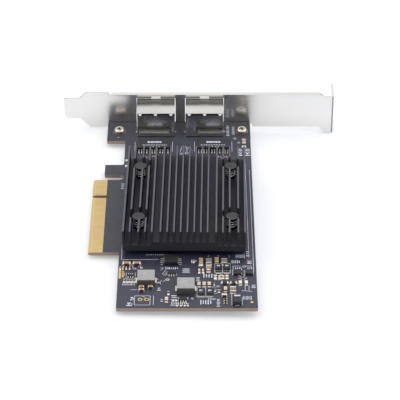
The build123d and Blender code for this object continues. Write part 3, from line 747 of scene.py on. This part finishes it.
for node, look in leadedParts.items():
    low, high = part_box(node)
    outX, outY = (value * mm for value in look["reach"])
    bodyLow = (low.x + outX, low.y + outY, boardTop + bodyShape["lift"] * mm)
    bodyHigh = (high.x - outX, high.y - outY, high.z)
    body = block(bodyLow, bodyHigh, bodyShape["draft"] * mm, look["edge"] * mm)
    finished([body], node + "_body", chipBlack, "chip_plastic", node)
    middle = (low + high) / 2 / mm
    wide, deep = (bodyHigh[0] - bodyLow[0]) / mm, (bodyHigh[1] - bodyLow[1]) / mm
    reach = max(look["reach"])
    rise = (high.z - boardTop) / 2
    places = []
    pads = []
    for turn, count, pitch in look["sides"]:
        side = Matrix.Rotation(math.radians(turn), 3, "Z") @ Vector((0, -1, 0))
        along = Vector((abs(side.y), abs(side.x), 0))
        edge = Vector((side.x * wide / 2, side.y * deep / 2, 0))
        for n in range(count):
            spot = Vector((middle.x, middle.y, 0)) + edge + along * (n - (count - 1) / 2) * pitch
            places.append(at(spot.x, spot.y, turn=turn))
            foot = spot + side * (reach * leadShape["padAt"] + leadShape["padOut"] / 2)
            pads.append(at(foot.x, foot.y, turn=turn))
    lead = bentLead(look["width"] * mm, leadShape["thick"] * mm, rise, reach * mm)
    # the transformers' leads take the darker copy of tin, as painted shade
    finish = shadedLeadTin if "transformer" in node else tin
    finished(placed(lead, *places), node + "_leads", finish, "shield_metal", node)
    padLong = (reach * leadShape["padShare"] + leadShape["padOut"]) / 2 * mm
    half = look["width"] / 2 * mm
    padHigh, padEdge = leadShape["padThick"] * mm, leadShape["padEdge"] * mm
    pad = block((-half, -padLong, 0), (half, padLong, padHigh), 0, padEdge, 1)
    finished(placed(pad, *pads), node + "_pads", solder, "shield_metal")
print("leaded parts built")

# Chip capacitors and resistors: a fired body between two tinned ends, each with its fillet of solder
# wrap: how far an end reaches over the body, as a share of its length. fillet and climb: the solder's reach past the
# end in millimetres, and its height as a share of the body's
endLook = {
    "wrap": 0.2, "proud": 0.02, "edge": 0.05, "gap": 0.05, "lift": 0.04,
    "fillet": 0.3, "climb": 0.45, "side": 0.06, "overlap": 0.02, "taper": (1, 0.9, 0.12), "filletEdge": 0.03,
}


def chipKit(long, wide, tall):
    # body and ends of one size, lying along x, in millimetres
    def brick(lowX, highX, halfY, lowZ, highZ, edge):
        return block([v * mm for v in (lowX, -halfY, lowZ)], [v * mm for v in (highX, halfY, highZ)], 0, edge * mm)

    proud = endLook["proud"]
    bodyEnd = long / 2 - endLook["gap"]
    body = brick(-bodyEnd, bodyEnd, wide / 2, endLook["lift"], tall, endLook["edge"])
    ends = []
    for side in (-1, 1):
        near, far = sorted((side * (long / 2 - endLook["wrap"] * long), side * (long / 2 + proud)))
        ends.append(brick(near, far, wide / 2 + proud, 0, tall + proud, endLook["edge"]))
        tip = side * (long / 2 + endLook["fillet"])
        near, far = sorted((side * (long / 2 - endLook["overlap"]), tip))
        fillet = brick(near, far, wide / 2 + endLook["side"], 0, tall * endLook["climb"], 0)
        pick(fillet, lambda centre, normal: normal.x * side > 0.9)
        bpy.ops.transform.resize(value=endLook["taper"], center_override=(tip * mm, 0, 0))
        done()
        soften(fillet, endLook["filletEdge"] * mm, 1)
        ends.append(fillet)
    return body, joined(ends, "ends")


def fitChips(node, choose, slot):
    # every solid of a CAD node gets the body and ends of its size, and the finish that its size calls for
    bySize = {}
    for low, high in solids[node]:
        size = [round(value / mm, 2) for value in high - low]
        turned = size[1] > size[0]
        key = (max(size[:2]), min(size[:2]), size[2])
        place = at((low.x + high.x) / 2 / mm, (low.y + high.y) / 2 / mm, low.z / mm, 90 if turned else 0)
        bySize.setdefault(key, []).append(place)
    bodies, ends = {}, []
    for key, places in bySize.items():
        body, end = chipKit(*key)
        for place in places:
            bodies.setdefault(choose(key, place.translation / mm), []).append(twin(body, place))
            ends.append(twin(end, place))
        bpy.data.objects.remove(body)
        bpy.data.objects.remove(end)
    for finish, parts in bodies.items():
        finished(parts, node + "_" + finish.name, finish, slot, node)
    finished(ends, node + "_ends", solder, "shield_metal", node)


# Which finish a size has: the widest are grey, the lights pale, those by the near edge sandy
chipRules = {"greyWide": 2.2, "lightTall": 0.9, "sandTall": 0.5, "sandFrom": 30, "sandBelow": -52, "sandRow": 50}


def capacitorFinish(key, spot):
    if key[1] > chipRules["greyWide"]:
        return ceramicGrey
    if key[2] == chipRules["lightTall"]:
        return ceramicPale
    sandy = spot.x > chipRules["sandFrom"] and spot.y < chipRules["sandBelow"]
    return ceramicSand if sandy else ceramicTan


def resistorFinish(key, spot):
    sandy = key[2] == chipRules["sandTall"] and spot.x > chipRules["sandRow"]
    return ceramicSand if sandy else resistorBlack


fitChips("ceramic_capacitors", capacitorFinish, "ceramic")
fitChips("chip_resistors", resistorFinish, "resistor_black")
print("capacitors and resistors fitted")

# Power transistors: flat bodies, four leads towards the near edge and a wide tab on the far side
transistorLook = {
    "draft": 0.06, "edge": 0.06, "leads": 4, "pitch": 0.65, "lead": 0.38, "tab": 2.2,
    "out": 0.28, "inside": 0.2, "thick": 0.22, "leadEdge": 0.03,
}
bodies, metal = [], []
out, inside, thick, leadEdge = (transistorLook[key] * mm for key in ("out", "inside", "thick", "leadEdge"))
for low, high in solids["power_transistors"]:
    bodies.append(block(low, high, transistorLook["draft"] * mm, transistorLook["edge"] * mm))
    x = (low.x + high.x) / 2
    half = transistorLook["lead"] / 2 * mm
    for n in range(transistorLook["leads"]):
        lead = x + (n - (transistorLook["leads"] - 1) / 2) * transistorLook["pitch"] * mm
        corners = (lead - half, low.y - out, low.z), (lead + half, low.y + inside, low.z + thick)
        metal.append(block(*corners, 0, leadEdge, 1))
    half = transistorLook["tab"] / 2 * mm
    corners = (x - half, high.y - inside, low.z), (x + half, high.y + out, low.z + thick)
    metal.append(block(*corners, 0, leadEdge, 1))
finished(bodies, "transistor_bodies", chipBlack, "chip_plastic", "power_transistors")
finished(metal, "transistor_leads", solder, "shield_metal", "power_transistors")

# Rectifiers and the larger protection diode: moulded bodies with flat tabs at their ends
tabLook = {
    "draft": 0.12, "out": 0.16, "inside": 0.3, "thick": 0.25, "share": 0.55, "edge": 0.04,
    "bodies": (("rectifiers", 0, 0.18), ("protection_diode", 1, 0.16)),  # node, axis of the tabs, edge
}
bodies, metal = [], []
for node, along, edge in tabLook["bodies"]:
    for low, high in solids[node]:
        bodies.append(block(low, high, tabLook["draft"] * mm, edge * mm, 3))
        middle, size = (low + high) / 2, high - low
        half = size[1 - along] * tabLook["share"] / 2
        for side in (-1, 1):
            face = middle[along] + side * size[along] / 2
            near, far = sorted((face - side * tabLook["inside"] * mm, face + side * tabLook["out"] * mm))
            lowCorner, highCorner = middle.copy(), middle.copy()
            lowCorner[along], highCorner[along] = near, far
            lowCorner[1 - along] -= half
            highCorner[1 - along] += half
            lowCorner.z, highCorner.z = low.z, low.z + tabLook["thick"] * mm
            metal.append(block(lowCorner, highCorner, 0, tabLook["edge"] * mm, 1))
finished(bodies, "diode_bodies", chipBlack, "chip_plastic", "rectifiers", "protection_diode")
finished(metal, "diode_tabs", solder, "shield_metal", "rectifiers", "protection_diode")

# Power inductors: pressed blocks with a shallow sunk top and a tinned clip on each side
inductorLook = {
    "edge": 0.12, "rim": 0.45, "slope": 0.06, "sunk": 0.05, "clipWide": 3.2,
    "foot": (0.2, 0.75, 0.3, 0.05), "upright": (0.05, 0.12, 1.1, 0.04),  # inside, outside, height, edge of each
}
bodies, metal = [], []
for low, high in solids["power_inductors"]:
    body = block(low, high, 0, inductorLook["edge"] * mm)
    pick(body, lambda centre, normal: normal.z > 0.99)
    bpy.ops.mesh.inset(thickness=inductorLook["rim"] * mm, depth=0)
    bpy.ops.mesh.inset(thickness=inductorLook["slope"] * mm, depth=-inductorLook["sunk"] * mm)
    done()
    bodies.append(body)
    y = (low.y + high.y) / 2
    half = inductorLook["clipWide"] / 2 * mm
    for side, face in ((-1, low.x), (1, high.x)):
        for part in ("foot", "upright"):
            inside, out, tall, edge = (value * mm for value in inductorLook[part])
            near, far = sorted((face - side * inside, face + side * out))
            metal.append(block((near, y - half, low.z), (far, y + half, low.z + tall), 0, edge, 1))
finished(bodies, "inductor_blocks", ferrite, "ferrite", "power_inductors")
finished(metal, "inductor_clips", solder, "shield_metal", "power_inductors")
print("power parts built")

# Small slanted teeth that hold the folded top of each jack's shield over its rear wall
toothLook = {
    "places": (-6.75, 0, 6.75), "wide": 1.9, "tall": 0.9, "deep": 0.55,
    "tip": 0.4, "slant": 0.1,  # how much of the width is left at the tip, and of the depth at the top
    "under": 0.08, "inside": 0.1, "edge": 0.04,
}
teeth = []
for node in ("left_jack_shield", "right_jack_shield"):
    low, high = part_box(node)
    for shift in toothLook["places"]:
        x = (low.x + high.x) / 2 + shift * mm
        half = toothLook["wide"] / 2 * mm
        top, root = high.z - toothLook["under"] * mm, low.y + toothLook["inside"] * mm
        outer, bottom = root - toothLook["deep"] * mm, top - toothLook["tall"] * mm
        tooth = block((x - half, outer, bottom), (x + half, root, top))
        for facing, shrink in ((1, (1, toothLook["slant"], 1)), (-1, (toothLook["tip"], 1, 1))):
            pick(tooth, lambda centre, normal: normal.z * facing > 0.9)
            bpy.ops.transform.resize(value=shrink, center_override=(x, root, top))
            done()
        soften(tooth, toothLook["edge"] * mm, 1)
        teeth.append(tooth)
finished(teeth, "shield_teeth", shieldMetal, "shield_metal")

# Solder where the jacks' contacts come through under the board
jointLook = {"wide": 0.75, "neck": 0.38, "tall": 0.55, "edge": 0.12, "sides": 16}
bpy.ops.object.select_all(action="DESELECT")
bpy.ops.mesh.primitive_cone_add(
    vertices=jointLook["sides"], radius1=jointLook["wide"] * mm, radius2=jointLook["neck"] * mm,
    depth=jointLook["tall"] * mm, location=(0, 0, -jointLook["tall"] / 2 * mm), rotation=(math.radians(180), 0, 0),
)
cone = bpy.context.object
seat(cone)
soften(cone, jointLook["edge"] * mm, smooth=60)
jackLook = {"centres": (25.9, 47.45), "contacts": 8, "pitch": 1.02, "rows": (49.71, 52.25)}
places = []
for centre in jackLook["centres"]:
    for n in range(jackLook["contacts"]):
        tail = centre + (n - (jackLook["contacts"] - 1) / 2) * jackLook["pitch"]
        places.append(at(tail, jackLook["rows"][n % 2], boardLow.z / mm))
finished(placed(cone, *places), "underside_solder", solder, "shield_metal")
print("underside soldered")

# Plated rings, pads and bars on the board: x, y in millimetres, then sizes. Rings: outer and inner radius
trimLook = {
    "rise": 0.04,
    "screwRings": ((9.7, 50.75), (64.0, 50.75)),
    "screwRing": (2.62, 2.35),
    "viaRings": ((31.9, -50.1), (32.3, -57.8), (29.0, -59.9), (60.9, -57.0), (63.4, -57.0)),
    "viaRing": (0.50, 0.25),
    "bars": ((13.35, -54.0, 0.95, 6.2), (14.6, -54.2, 0.75, 4.1), (15.1, -54.25, 0.5, 1.6)),
    "dots": ((65.4, -72.3, 0.62), (9.39, 46.03, 0.4)),
    "dotHole": 0.05,
    "header": ((21.81, -70.5, 0.95, 1), (24.35, -70.5, 0.9, 1.25)),
    "headerHole": 0.5,
    "padRow": ((51.3, -55.1), (53.6, -55.1), (55.9, -55.1), (51.3, -57.1), (53.6, -57.1), (55.9, -57.1)),
    "padSize": (1.3, 1.0),
    "farPad": (12.8, 1.3),
    "whitePads": (
        (64.7, 38.5, 1.9, 1.5), (64.8, 42.3, 1.2, 1.2), (13.5, 27.7, 0.9, 1.5), (13.5, 23.3, 0.9, 1.5),
        (45.5, -48.6, 2.0, 0.7), (48.6, -52.7, 1.5, 0.7), (44.9, -53.6, 0.9, 0.6), (46.6, -53.6, 0.9, 0.6),
        (52.6, -53.6, 2.4, 0.6), (55.8, -53.6, 2.4, 0.6), (45.7, -68.9, 2.4, 0.6), (48.9, -68.9, 2.4, 0.6),
    ),
}


def ring(outer, inner, rise=trimLook["rise"], vertices=32):
    # a flat washer, in millimetres, lying on z = 0
    bpy.ops.object.select_all(action="DESELECT")
    bpy.ops.mesh.primitive_circle_add(vertices=vertices, radius=outer * mm, fill_type="NGON")
    piece = bpy.context.object
    edit(piece)
    bpy.ops.mesh.inset(thickness=(outer - inner) * mm)
    bpy.ops.mesh.delete(type="FACE")
    bpy.ops.mesh.select_all(action="SELECT")
    bpy.ops.mesh.extrude_region_move(TRANSFORM_OT_translate={"value": (0, 0, rise * mm)})
    bpy.ops.mesh.select_all(action="SELECT")
    bpy.ops.mesh.normals_make_consistent(inside=False)
    done()
    return piece


def bar(wide, deep, rise=trimLook["rise"]):
    # a flat bar, in millimetres, centred on the origin and lying on z = 0
    bpy.ops.object.select_all(action="DESELECT")
    bpy.ops.mesh.primitive_plane_add(size=1)
    piece = bpy.context.object
    piece.scale = (wide * mm, deep * mm, 1)
    seat(piece)
    edit(piece)
    bpy.ops.mesh.extrude_region_move(TRANSFORM_OT_translate={"value": (0, 0, rise * mm)})
    bpy.ops.mesh.select_all(action="SELECT")
    bpy.ops.mesh.normals_make_consistent(inside=False)
    done()
    return piece


plated = placed(ring(*trimLook["screwRing"]), *(at(x, y) for x, y in trimLook["screwRings"]))
plated += placed(ring(*trimLook["viaRing"], vertices=20), *(at(x, y) for x, y in trimLook["viaRings"]))
for x, y, wide, deep in trimLook["bars"]:
    plated += placed(bar(wide, deep), at(x, y))
for x, y, radius in trimLook["dots"]:
    plated += placed(ring(radius, radius * trimLook["dotHole"], vertices=20), at(x, y))
for x, y, outer, stretch in trimLook["header"]:
    plated += placed(ring(outer, trimLook["headerHole"], vertices=24), at(x, y, scale=(stretch, 1, 1)))
finished(plated, "plated_trim", gold, "gold")

tinned = []
wide, deep = trimLook["farPad"]
for node in ("left_transformer", "right_transformer"):  # the far leads stand on one wide pad
    low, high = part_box(node)
    tinned += placed(bar(wide, deep), at((low.x + high.x) / 2 / mm, high.y / mm - deep / 2))
for x, y in trimLook["padRow"]:
    tinned += placed(bar(*trimLook["padSize"]), at(x, y))
for x, y, wide, deep in trimLook["whitePads"]:
    tinned += placed(bar(wide, deep), at(x, y))
finished(tinned, "tinned_pads", solder, "shield_metal")
print("plated trim laid")

# Printed marks: plain lines, frames and short dashes in place of every word and number. In millimetres: both ends of
# each line, both corners of each frame, both corners and dashes of each word, centre and radius of each ring
inkLines = (
    (13.7, 5.0, 13.7, -44.5), (14.0, -44.5, 28.6, -44.5), (64.9, 28.0, 64.9, -43.0), (66.6, 20.0, 66.6, -53.0),
    (16.9, 34.5, 16.9, 42.3), (33.3, 34.5, 33.3, 42.3), (43.0, 34.5, 43.0, 42.3), (59.4, 34.5, 59.4, 42.3),
    (37.5, 38.9, 36.8, 34.6), (38.2, 39.3, 38.7, 34.9), (39.2, 38.9, 39.8, 34.6), (40.2, 38.2, 40.0, 36.4),
    (35.5, 37.8, 35.5, 35.7), (41.4, 37.5, 41.4, 35.3), (14.7, -47.4, 14.8, -49.7), (17.0, -47.4, 17.3, -49.7),
    (18.2, -47.4, 18.3, -49.7), (20.5, -47.7, 20.6, -49.7), (18.7, -50.8, 20.1, -50.8), (21.2, -48.8, 22.2, -50.2),
    (15.9, -53.2, 15.9, -57.2), (19.5, -53.2, 19.5, -57.2), (28.3, -60.5, 30.0, -58.4), (30.5, -59.1, 31.8, -57.7),
    (27.9, -56.7, 28.6, -57.8), (30.7, -50.2, 29.5, -51.6), (31.7, -51.2, 30.2, -54.2), (32.2, -52.5, 30.7, -55.0),
    (29.5, -50.0, 30.3, -50.2), (35.8, -54.0, 35.9, -55.0), (44.5, -47.5, 46.6, -47.5), (47.7, -48.3, 47.7, -50.3),
    (49.6, -48.3, 49.6, -50.3), (47.9, -52.4, 49.2, -52.4), (48.6, -41.8, 48.6, -42.5), (52.5, -41.6, 52.7, -42.5),
    (56.8, -41.6, 57.0, -42.6), (51.1, -47.1, 57.2, -47.1), (51.1, -47.1, 51.1, -53.4), (54.2, -47.1, 54.2, -53.4),
    (57.3, -47.1, 57.3, -53.4), (51.1, -53.4, 57.2, -53.4), (44.0, -62.6, 52.3, -62.6), (44.0, -62.6, 44.0, -68.7),
    (47.4, -63.0, 47.4, -68.4), (44.0, -68.8, 50.4, -68.8), (50.6, -64.4, 53.3, -64.4), (50.6, -66.8, 53.3, -66.0),
    (50.4, -56.3, 56.7, -56.3), (50.7, -57.9, 53.7, -57.9), (58.4, -48.9, 58.4, -51.4), (58.6, -48.9, 61.3, -48.9),
    (61.4, -49.5, 62.0, -51.7), (63.3, -48.9, 66.0, -48.9), (60.5, -55.1, 61.9, -56.4), (62.4, -56.4, 63.1, -55.1),
    (59.7, -61.1, 60.4, -59.8), (58.2, -51.4, 58.1, -55.0), (57.6, -66.0, 57.5, -74.1), (61.7, -69.3, 61.6, -74.1),
    (61.6, -57.4, 61.6, -59.0), (62.9, -57.4, 62.9, -59.0), (63.0, -61.7, 62.9, -65.0), (64.5, -61.7, 64.4, -65.0),
    (61.6, -64.9, 65.6, -65.5), (40.4, -69.0, 40.4, -70.8), (36.7, -69.0, 36.7, -71.4), (22.5, -68.4, 23.8, -69.2),
    (17.8, -64.3, 20.6, -64.3), (33.5, -74.4, 40.4, -74.4), (27.0, -68.1, 27.0, -73.9),
)
inkFrames = ((19.6, -74.0, 25.7, -68.2),)
inkWords = (
    (41.4, -46.8, 43.6, -44.8, 2), (38.1, -53.5, 41.3, -50.3, 6), (32.5, -51.0, 36.6, -49.7, 5),
    (57.7, -47.2, 61.3, -44.9, 5), (59.5, -43.5, 63.3, -40.9, 7), (63.8, -42.7, 65.2, -38.6, 3),
    (64.0, -47.5, 66.1, -45.2, 3), (14.5, -61.6, 19.6, -60.1, 9), (14.8, -59.4, 19.9, -58.2, 7),
    (46.2, -56.5, 50.4, -54.1, 4), (43.6, -58.7, 45.2, -56.1, 3), (28.4, -65.2, 29.7, -62.7, 2),
    (45.0, -73.7, 49.8, -70.9, 5), (48.3, -70.9, 51.3, -69.7, 5), (51.6, -75.3, 53.0, -70.1, 6),
    (61.9, -70.9, 65.5, -68.4, 7), (65.4, -63.4, 67.2, -61.1, 3), (23.2, -41.6, 32.1, -40.8, 12),
    (33.8, -71.4, 36.1, -67.6, 3), (33.8, -74.0, 40.4, -72.2, 8), (62.5, -55.1, 63.9, -51.7, 3),
    (29.8, -72.2, 30.8, -70.0, 2), (16.5, -75.0, 18.6, -72.1, 2), (17.9, -71.4, 19.3, -68.7, 2),
    (57.1, 47.0, 58.5, 55.8, 8), (59.5, 48.2, 60.9, 54.9, 6), (61.7, 30.8, 63.9, 37.0, 5),
    (65.0, 30.8, 67.3, 37.0, 5), (11.8, 5.6, 13.2, 10.0, 4), (59.0, -50.9, 61.3, -49.7, 3),
    (64.0, -50.9, 66.2, -49.7, 3),
)
inkRings = (
    (43.2, -45.4, 0.7), (19.0, -50.4, 0.6), (21.8, -50.0, 0.6), (31.9, -50.1, 0.7), (31.7, -54.2, 0.6),
    (32.3, -57.8, 0.8), (29.0, -59.9, 0.7), (42.2, -69.9, 0.5), (18.9, -70.3, 0.6), (52.3, -62.2, 0.6),
    (62.8, -49.2, 0.6), (37.3, 33.0, 0.6), (39.6, 33.4, 0.8), (62.5, 41.7, 0.6), (60.8, 45.0, 0.6),
)
inkLook = {"line": 0.2, "dash": 0.42, "rise": 0.025, "heights": (0.5, 0.36, 0.44), "sides": 20}


def inkBetween(x1, y1, x2, y2, wide, z=boardTop / mm):
    long = math.hypot(x2 - x1, y2 - y1)
    turn = math.degrees(math.atan2(y2 - y1, x2 - x1))
    return placed(bar(long, wide, inkLook["rise"]), at((x1 + x2) / 2, (y1 + y2) / 2, z, turn))


def inkWord(x1, y1, x2, y2, count, z=boardTop / mm, fill=inkLook["dash"]):
    # a row of short dashes that fills the place of a printed word
    made = []
    middleX, middleY = (x1 + x2) / 2, (y1 + y2) / 2
    sideways = x2 - x1 >= y2 - y1
    step = ((x2 - x1) if sideways else (y2 - y1)) / count
    for n in range(count):
        height = inkLook["heights"][n % len(inkLook["heights"])]
        if sideways:
            x, reach = x1 + (n + 0.5) * step, (y2 - y1) * height
            ends = (x, middleY - reach, x, middleY + reach)
        else:
            y, reach = y1 + (n + 0.5) * step, (x2 - x1) * height
            ends = (middleX - reach, y, middleX + reach, y)
        made += inkBetween(*ends, step * fill, z)
    return made


printed = []
for line in inkLines:
    printed += inkBetween(*line, inkLook["line"])
for x1, y1, x2, y2 in inkFrames:
    for line in ((x1, y1, x2, y1), (x2, y1, x2, y2), (x2, y2, x1, y2), (x1, y2, x1, y1)):
        printed += inkBetween(*line, inkLook["line"])
for word in inkWords:
    printed += inkWord(*word)
for x, y, radius in inkRings:
    inner = radius - inkLook["line"]
    printed += placed(ring(radius, inner, inkLook["rise"], inkLook["sides"]), at(x, y))
finished(printed, "board_print", ink, "solder_mask")

# Marks on the chips: both corners, dashes, and how much of the step a dash fills
chipPrint = (
    ("left_transformer", (22.4, 38.6, 28.6, 40.0, 9), 0.8),
    ("left_transformer", (20.2, 36.6, 31.0, 37.3, 15), 0.5),
    ("left_transformer", (24.3, 35.3, 28.3, 35.8, 3), 0.3),
    ("right_transformer", (48.2, 38.6, 54.4, 40.0, 9), 0.8),
    ("right_transformer", (45.7, 36.6, 56.5, 37.3, 15), 0.5),
    ("right_transformer", (50.1, 35.3, 54.1, 35.8, 3), 0.3),
    ("regulator_chip", (16.6, -55.6, 18.8, -54.9, 3), 0.4),
    ("protection_diode", (58.4, -71.2, 60.9, -70.4, 1), 0.95),
)
transistorPrint = {"half": 0.7, "near": -0.1, "far": 0.9, "dashes": 2, "fill": 0.7}
printed = []
for node, word, fill in chipPrint:
    printed += inkWord(*word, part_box(node)[1].z / mm, fill)
for low, high in solids["power_transistors"]:
    x, y, top = (low.x + high.x) / 2 / mm, (low.y + high.y) / 2 / mm, high.z / mm
    half, near, far = transistorPrint["half"], y + transistorPrint["near"], y + transistorPrint["far"]
    printed += inkWord(x - half, near, x + half, far, transistorPrint["dashes"], top, transistorPrint["fill"])
finished(printed, "chip_print", ink, "chip_plastic")
print("marks printed")
